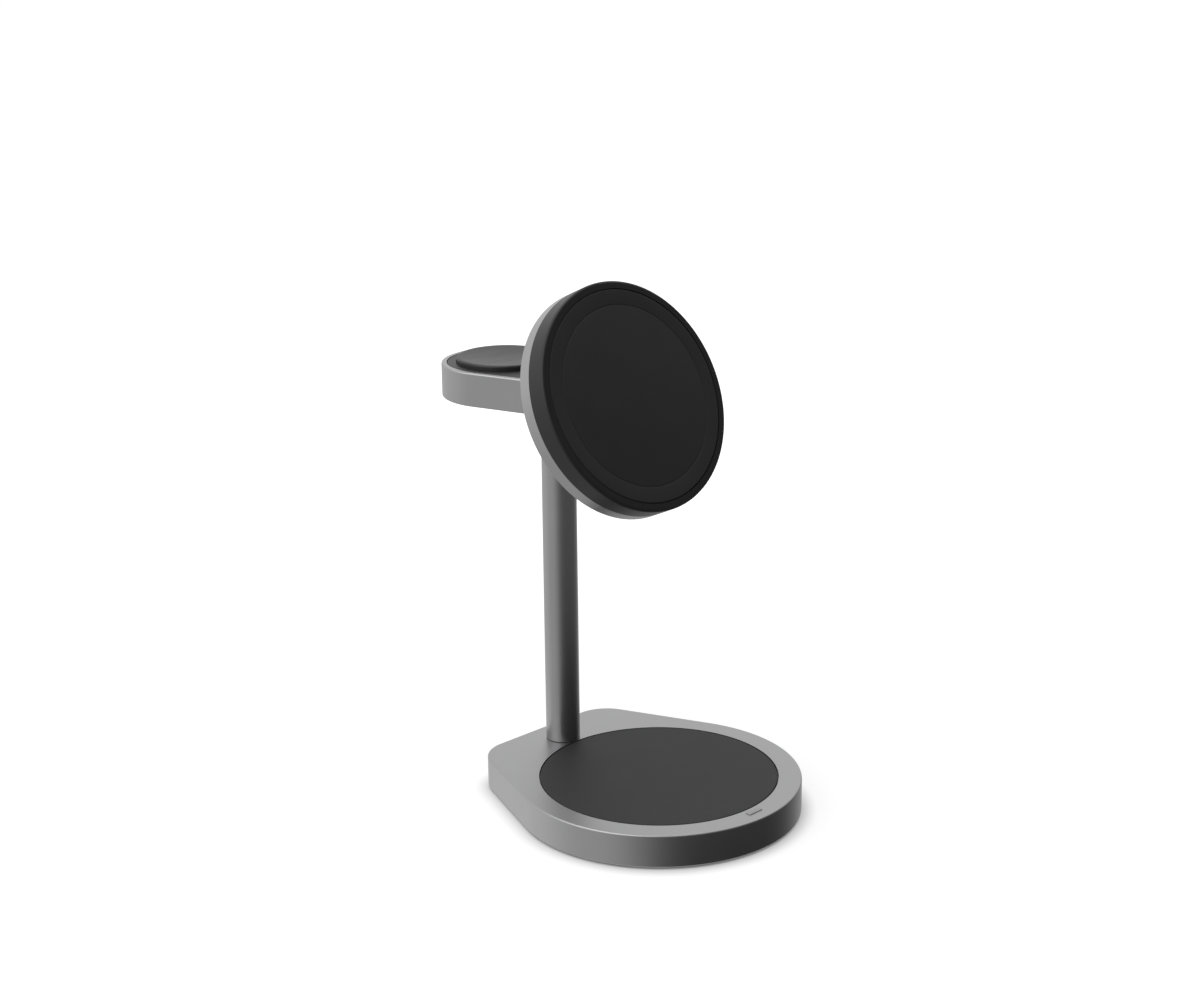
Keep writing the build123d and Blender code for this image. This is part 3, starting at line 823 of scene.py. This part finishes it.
class CHARGER_OT_power_socket(bpy.types.Operator):
    """Pressed shell of the power socket, with its tongue and two rows of contacts"""

    bl_idname = "charger.power_socket"
    bl_label = "Power socket"

    def execute(self, context):
        colours = context.scene.charger_colours
        sizes = context.scene.charger_sizes
        pressed = drawn_metal("pressed_socket_shell", colours.inlet_metal, rough=0.28)
        black = moulded_plastic("socket_tongue", colours.black_plastic, sizes, rough=0.36)
        gold = drawn_metal("contact_gold", colours.contact_gold, rough=0.24, stretch=(1.0, 8.0, 1.0))
        self.shell(sizes, pressed)
        self.tongue(sizes, black)
        self.contacts(sizes, gold)
        return {"FINISHED"}

    def floor_depth(self, sizes):
        """Mouth of the socket to the floor inside it."""
        low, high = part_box("power_inlet")
        return high.y - low.y - sizes.socket_back

    def shell(self, sizes, finish):
        """A pressed cup with a round lip."""
        low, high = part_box("power_inlet")
        lip = sizes.socket_skin / 2
        lip_steps = 8
        profile = [(0.0, low.y - high.y)]
        for step in range(lip_steps + 1):
            turn = pi * step / lip_steps
            profile.append((lip * (1 - cos(turn)), lip * (sin(turn) - 1)))
        profile.append((sizes.socket_skin, -self.floor_depth(sizes)))
        rings = stack(socket_plan(sizes), profile, SOCKET_STEPS)
        piece = new_piece("socket_shell", [rings], finish, socket_place(sizes))
        stand_for(piece, "stand", "inlet_metal", "power_inlet")

    def tongue(self, sizes, finish):
        """The flat blade in the middle of the socket."""
        nose = sizes.tongue_nose
        circles = soft_edges(sizes.tongue_half_width, sizes.tongue_half_height, nose)
        tip = -sizes.tongue_setback
        profile = [(0.0, -self.floor_depth(sizes)), (0.0, tip - nose), (nose * TIP_DRAW, tip)]
        rings = stack(circles, profile, SMALL_STEPS)
        piece = new_piece("socket_tongue", [rings], finish, socket_place(sizes))
        stand_for(piece, "stand", "carrier_plastic")

    def contacts(self, sizes, finish):
        """A row of flat contacts on each face of the tongue."""
        radius = sizes.contact_width / 3
        circles = soft_edges(sizes.contact_width / 2, sizes.contact_length / 2, radius)
        middle = -sizes.tongue_setback - 2 * sizes.tongue_nose - sizes.contact_length / 2
        top = sizes.tongue_half_height + sizes.contact_rise
        edge = sizes.contact_rise / 2
        profile = [(0.0, 0.0), (0.0, top - edge), (edge, top)]
        skins = []
        for number in range(sizes.contact_count):
            across = (number - (sizes.contact_count - 1) / 2) * sizes.contact_pitch
            for face in (1, -1):
                skins.append([
                    [Vector((across + point.x, face * point.z, middle + point.y)) for point in ring]
                    for ring in stack(circles, profile, CONTACT_STEPS)
                ])
        stand_for(new_piece("socket_contacts", skins, finish, socket_place(sizes)), "stand", "inlet_metal")


class CHARGER_OT_windings(bpy.types.Operator):
    """Flat spirals of enamelled wire for the three charging coils"""

    bl_idname = "charger.windings"
    bl_label = "Windings"

    def execute(self, context):
        colours = context.scene.charger_colours
        gap = context.scene.charger_sizes.wire_gap
        finish = enamelled_wire("enamelled_copper", colours.copper)
        for node, body, place in (
            ("earbud_coil", "stand", upright_place("earbud_coil")),
            ("watch_coil", "stand", upright_place("watch_coil")),
            ("head_coil", "head", head_place()),
        ):
            inner, outer, bottom, top = round_extent(node, place)
            rings = winding(inner, outer, (bottom + top) / 2, top - bottom, gap)
            piece = new_piece(node + "_winding", [rings], finish, place, crease=50.0)
            stand_for(piece, body, "copper", node)
        return {"FINISHED"}


class CHARGER_OT_inner_parts(bpy.types.Operator):
    """Finishes of the parts inside the shells and of the hinge"""

    bl_idname = "charger.inner_parts"
    bl_label = "Inner parts"

    def execute(self, context):
        colours = context.scene.charger_colours
        sizes = context.scene.charger_sizes
        carrier = moulded_plastic("moulded_carrier", colours.carrier_plastic, sizes, rough=0.5)
        jacket = moulded_plastic("wire_jacket", colours.wire_jacket, sizes, rough=0.48)
        steel = drawn_metal("turned_steel", colours.steel, rough=0.34, stretch=(1.0, 1.0, 10.0))
        pin = drawn_metal("ground_pin_steel", colours.pin_steel, rough=0.22, stretch=(1.0, 12.0, 12.0))
        nickel = drawn_metal("nickel_plating", colours.magnet_plating, rough=0.2, stretch=(1.0, 1.0, 1.0))
        foil = drawn_metal("shield_foil", colours.shield_foil, rough=0.3, stretch=(20.0, 1.0, 1.0))
        dress("ferrite", sintered("sintered_ferrite", colours.ferrite))
        dress("friction_washer", sintered("friction_washer", colours.friction_washer))
        dress("circuit_board", circuit_board("lacquered_board", colours.board_mask, colours.board_trace))
        dress("carrier_plastic", carrier)
        dress("wire_jacket", jacket)
        dress("steel", steel)
        dress("pin_steel", pin)
        dress("magnet_plating", nickel)
        dress("shield_foil", foil)
        return {"FINISHED"}


class CHARGER_OT_stage(bpy.types.Operator):
    """Pale floor, white room, soft lights and the camera"""

    bl_idname = "charger.stage"
    bl_label = "Stage"

    def execute(self, context):
        studio = context.scene.charger_studio
        context.scene.view_settings.view_transform = "Standard"
        self.room(context, studio)
        self.floor(context, studio)
        self.softbox(context, "key_light", studio.key_place, studio.key_size, studio.key_power)
        self.softbox(context, "top_light", studio.top_place, studio.top_size, studio.top_power)
        self.camera(context, studio)
        return {"FINISHED"}

    def room(self, context, studio):
        """White to the camera, and in reflections white with one darker side."""
        dark = Vector((cos(studio.dark_turn), sin(studio.dark_turn), 0.0))
        world = bpy.data.worlds.new("white_room")
        world.use_nodes = True
        world.cycles.sampling_method = "NONE"
        context.scene.world = world
        paint = Paint(world.node_tree)
        seen = paint.node("ShaderNodeLightPath", output="Is Camera Ray")
        mirrored = paint.node("ShaderNodeLightPath", output="Is Glossy Ray")
        through = paint.node("ShaderNodeLightPath", output="Is Transmission Ray")
        direction = paint.node("ShaderNodeTexCoord", output="Generated")
        towards = paint.node(
            "ShaderNodeVectorMath", {"operation": "DOT_PRODUCT"}, {0: direction, 1: dark}, output="Value"
        )
        height = paint.node("ShaderNodeSeparateXYZ", None, {0: direction}, output="Z")
        above = 1.0 - studio.dark_above * paint.ramp(towards, *DARK_ABOVE_SPAN)
        below = 1.0 - studio.dim_below * paint.ramp(towards, *DIM_BELOW_SPAN)
        below = below - studio.dark_below * paint.ramp(towards, *DARK_BELOW_SPAN)
        mirror = below + paint.ramp(height, *HORIZON_SPAN) * (above - below)
        lit = 1.0 - seen - mirrored - through
        strength = seen + through + mirrored * mirror + lit * studio.room_light
        backdrop = paint.node("ShaderNodeBackground", None, {"Color": WHITE, "Strength": strength})
        paint.node("ShaderNodeOutputWorld", None, {"Surface": backdrop})

    def floor(self, context, studio):
        """A wide pale floor that keeps a faint shadow from its lamps and a painted contact shadow in its
        glow, and that reflections see the room through.
        """
        finish, paint = new_finish("pale_floor")
        finish.cycles.emission_sampling = "NONE"
        seen = paint.node("ShaderNodeLightPath", output="Is Camera Ray")
        mirrored = paint.node("ShaderNodeLightPath", output="Is Glossy Ray")
        through = paint.node("ShaderNodeLightPath", output="Is Transmission Ray")
        point = paint.node("ShaderNodeTexCoord", output="Object")
        away = paint.node("ShaderNodeVectorMath", {"operation": "LENGTH"}, {0: point}, output="Value")
        open_floor = NEAR_GLOW + (1.0 - NEAR_GLOW) * paint.ramp(away, *GLOW_SPAN)
        # Painted contact shadow: the floor's glow to the camera is darkened by ambient occlusion close to
        # the charger.
        clear = paint.node(
            "ShaderNodeAmbientOcclusion", {"samples": 8}, {"Distance": CONTACT_SHADOW}, output="AO"
        )
        strength = seen * open_floor * clear + through
        glow = paint.node("ShaderNodeEmission", None, {"Color": WHITE, "Strength": strength})
        paper = paint.node("ShaderNodeBsdfDiffuse", None, {"Color": FLOOR_TONE})
        lit = paint.node("ShaderNodeAddShader", None, {0: glow, 1: paper})
        gap = paint.node("ShaderNodeBsdfTransparent")
        haze = paint.node("ShaderNodeEmission", None, {"Color": HAZE_TONE, "Strength": 1.0})
        far = studio.floor_haze * paint.ramp(away, *HAZE_SPAN)
        mirror = paint.node("ShaderNodeMixShader", None, {0: far, 1: gap, 2: haze})
        shader = paint.node("ShaderNodeMixShader", None, {0: mirrored, 1: lit, 2: mirror})
        paint.node("ShaderNodeOutputMaterial", None, {"Surface": shader})
        sheet = bmesh.new()
        bmesh.ops.create_grid(sheet, x_segments=8, y_segments=8, size=FLOOR_REACH)
        data = bpy.data.meshes.new("floor")
        sheet.to_mesh(data)
        sheet.free()
        data.materials.append(finish)
        floor = bpy.data.objects.new("floor", data)
        context.scene.collection.objects.link(floor)

    def softbox(self, context, name, place, size, watts):
        """A round soft light that faces the middle of the charger."""
        lamp = bpy.data.lights.new(name, "AREA")
        lamp.shape = "DISK"
        lamp.size = size
        lamp.energy = watts
        light = bpy.data.objects.new(name, lamp)
        light.location = place
        low, high = cad_box
        aim = (low + high) / 2 - Vector(place)
        light.rotation_euler = aim.to_track_quat("-Z", "Y").to_euler()
        context.scene.collection.objects.link(light)

    def camera(self, context, studio):
        """A camera at the photograph's view of the charger."""
        azimuth, elevation, roll = studio.azimuth, studio.elevation, studio.roll
        level = Vector((cos(azimuth), sin(azimuth), 0.0))
        ahead = Vector((-sin(azimuth), cos(azimuth), 0.0))
        back = sin(elevation) * Vector((0.0, 0.0, 1.0)) - cos(elevation) * ahead
        rise = back.cross(level)
        right = cos(roll) * level + sin(roll) * rise
        up = cos(roll) * rise - sin(roll) * level
        lens = bpy.data.cameras.new("photo_camera")
        lens.lens = studio.lens
        lens.sensor_width = studio.sensor
        lens.clip_start = 10 * MM
        camera = bpy.data.objects.new("photo_camera", lens)
        stand = back * studio.distance - right * studio.stand_left + up * studio.stand_up
        camera.matrix_world = Matrix.Translation(stand) @ Matrix((right, up, back)).transposed().to_4x4()
        context.scene.collection.objects.link(camera)
        context.scene.camera = camera


class CHARGER_PT_looks(bpy.types.Panel):
    """Sidebar panel with the charger's pieces, sizes, colours and studio"""

    bl_idname = "CHARGER_PT_looks"
    bl_label = "Wireless charger"
    bl_space_type = "VIEW_3D"
    bl_region_type = "UI"
    bl_category = "Charger"

    def draw(self, context):
        for operator in OPERATORS:
            self.layout.operator(operator.bl_idname)
        scene = context.scene
        for group in (scene.charger_sizes, scene.charger_colours, scene.charger_studio):
            box = self.layout.box()
            for name in group.__annotations__:
                box.prop(group, name)


GROUPS = (ChargerSizes, ChargerColours, ChargerStudio)
OPERATORS = (
    CHARGER_OT_metal_shells,
    CHARGER_OT_plastic_parts,
    CHARGER_OT_soft_pads,
    CHARGER_OT_power_socket,
    CHARGER_OT_windings,
    CHARGER_OT_inner_parts,
    CHARGER_OT_stage,
)


def register():
    """Makes the classes and the panel's values known to Blender."""
    for part in (*GROUPS, *OPERATORS, CHARGER_PT_looks):
        bpy.utils.register_class(part)
    bpy.types.Scene.charger_sizes = PointerProperty(type=ChargerSizes)
    bpy.types.Scene.charger_colours = PointerProperty(type=ChargerColours)
    bpy.types.Scene.charger_studio = PointerProperty(type=ChargerStudio)


def unregister():
    """Takes back what register has made."""
    del bpy.types.Scene.charger_studio
    del bpy.types.Scene.charger_colours
    del bpy.types.Scene.charger_sizes
    for part in reversed((*GROUPS, *OPERATORS, CHARGER_PT_looks)):
        bpy.utils.unregister_class(part)


def main():
    """Dresses the frame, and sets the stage."""
    register()
    bpy.ops.charger.metal_shells()
    bpy.ops.charger.plastic_parts()
    bpy.ops.charger.soft_pads()
    bpy.ops.charger.power_socket()
    bpy.ops.charger.windings()
    bpy.ops.charger.inner_parts()
    bpy.ops.charger.stage()


if __name__ == "__main__":
    main()
